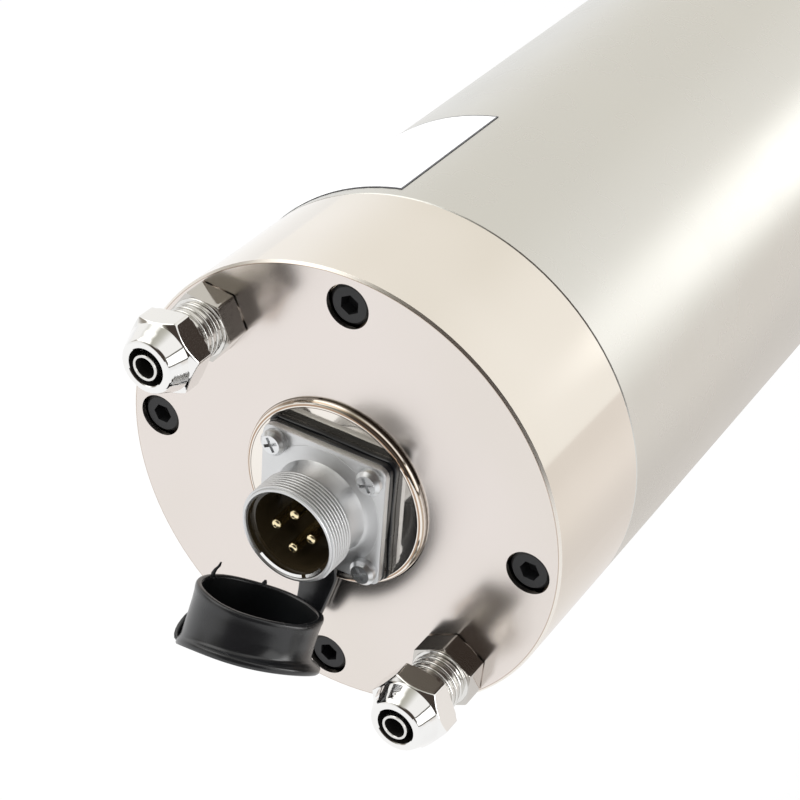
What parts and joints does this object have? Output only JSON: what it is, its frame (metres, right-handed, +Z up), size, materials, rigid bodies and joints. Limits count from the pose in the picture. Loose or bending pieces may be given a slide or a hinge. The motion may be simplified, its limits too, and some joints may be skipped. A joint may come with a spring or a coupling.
{
  "type": "motor spindle",
  "caption": "Water-cooled motor spindle: round clamp-on steel body, rear cap with round connector, dust cap and hose fittings, and a collet nose.",
  "frame": {"origin": "on the spindle axis, at the middle of the ground body tube that a clamp grips", "axes": "+Y along the spindle axis towards the rear cap, the collet nose towards -Y, +Z up with the dust cap hanging down"},
  "size_m": [0.08, 0.2749, 0.08],
  "materials": {
    "ground_steel": "ground stainless tube with a soft broad sheen",
    "polished_steel": "polished stainless",
    "turned_steel": "fine turned steel",
    "shaft_steel": "hardened and ground steel",
    "bearing_steel": "polished bearing steel",
    "spring_steel": "blued spring steel",
    "lamination_steel": "stacked electrical steel",
    "jacket_alloy": "turned aluminium",
    "cage_alloy": "die cast aluminium",
    "winding_copper": "enamelled copper",
    "lead_sleeve": "insulated leads",
    "black_screw": "black oxide steel",
    "black_nut": "black oxide steel",
    "zinc_screw": "zinc plated steel",
    "connector_zinc": "satin nickel plated casting",
    "insert_plastic": "dark phenolic",
    "gold_pin": "gold plated brass",
    "fitting_nickel": "nickel plated brass",
    "nut_chrome": "chromed brass",
    "plate_foil": "white printed foil, bare of text",
    "seal_rubber": "nitrile rubber",
    "black_rubber": "soft black rubber"
  },
  "bodies": {
    "housing": {"outer_tube": "ground_steel", "nameplate": "plate_foil", "rear_cap": "polished_steel", "rear_cap_screws": "black_screw", "port_o_rings": "seal_rubber", "water_jacket": "jacket_alloy", "jacket_o_rings": "seal_rubber", "stator_core": "lamination_steel", "stator_windings": "winding_copper", "lead_wires": "lead_sleeve", "rear_bearing_housing": "turned_steel", "preload_spring": "spring_steel", "rear_bearing_outer_rings": "bearing_steel", "front_bearing_housing": "polished_steel", "front_housing_screws": "black_screw", "front_bearing_outer_rings": "bearing_steel", "front_cover": "turned_steel", "front_cover_screws": "black_screw", "connector_gasket": "black_rubber", "connector_shell": "connector_zinc", "connector_insulator": "insert_plastic", "connector_pins": "gold_pin", "connector_lock_washers": "zinc_screw", "connector_screws": "zinc_screw", "inlet_fitting": "fitting_nickel", "outlet_fitting": "fitting_nickel"},
    "spindle_shaft": {"shaft": "shaft_steel", "rotor_core": "lamination_steel", "rotor_cage": "cage_alloy", "rear_bearing_inner_rings": "bearing_steel", "front_bearing_inner_rings": "bearing_steel", "rear_lock_nut": "black_screw", "front_lock_nut": "black_screw", "dust_ring": "turned_steel"},
    "front_ball_set": {"front_ball_cages": "bearing_steel"},
    "rear_ball_set": {"rear_ball_cages": "bearing_steel"},
    "collet_body": {"collet": "shaft_steel"},
    "nut_body": {"collet_nut": "black_nut"},
    "strap_body": {"cap_strap": "black_rubber"},
    "cap_body": {"dust_cap": "black_rubber"},
    "inlet_nut_body": {"inlet_nut": "nut_chrome"},
    "outlet_nut_body": {"outlet_nut": "nut_chrome"}
  },
  "joints": [
    {"name": "shaft_spin", "type": "hinge", "parent": "housing", "child": "spindle_shaft", "pos_m": [0, 0, 0], "axis": [0, -1, 0], "continuous": true},
    {"name": "front_ball_orbit", "type": "hinge", "parent": "housing", "child": "front_ball_set", "pos_m": [0, -0.0892, 0], "axis": [0, -1, 0], "continuous": true},
    {"name": "rear_ball_orbit", "type": "hinge", "parent": "housing", "child": "rear_ball_set", "pos_m": [0, 0.068, 0], "axis": [0, -1, 0], "continuous": true},
    {"name": "collet_travel", "type": "slide", "parent": "spindle_shaft", "child": "collet_body", "axis": [0, -1, 0], "range_m": [0, 0.0045]},
    {"name": "collet_nut_turn", "type": "hinge", "parent": "collet_body", "child": "nut_body", "pos_m": [0, -0.1317, 0], "axis": [0, -1, 0], "range_deg": [0, 1080]},
    {"name": "strap_bend", "type": "hinge", "parent": "housing", "child": "strap_body", "pos_m": [0.0018, 0.1077, -0.0125], "axis": [1, 0, 0], "range_deg": [0, 20], "stiffness_Nm_per_rad": 0.02},
    {"name": "cap_tilt", "type": "hinge", "parent": "strap_body", "child": "cap_body", "pos_m": [0.0018, 0.11303, -0.02688], "axis": [1, 0, 0], "range_deg": [-60, 5], "stiffness_Nm_per_rad": 0.01},
    {"name": "inlet_nut_travel", "type": "slide", "parent": "housing", "child": "inlet_nut_body", "axis": [0, 1, 0], "range_m": [0, 0.003]},
    {"name": "outlet_nut_travel", "type": "slide", "parent": "housing", "child": "outlet_nut_body", "axis": [0, 1, 0], "range_m": [0, 0.003]}
  ],
  "couplings": [
    {"joint": "front_ball_orbit", "follows": "shaft_spin", "ratio": 0.4148},
    {"joint": "rear_ball_orbit", "follows": "shaft_spin", "ratio": 0.4116},
    {"joint": "collet_nut_turn", "follows": "collet_travel", "rad_per_m": 4188.8}
  ]
}
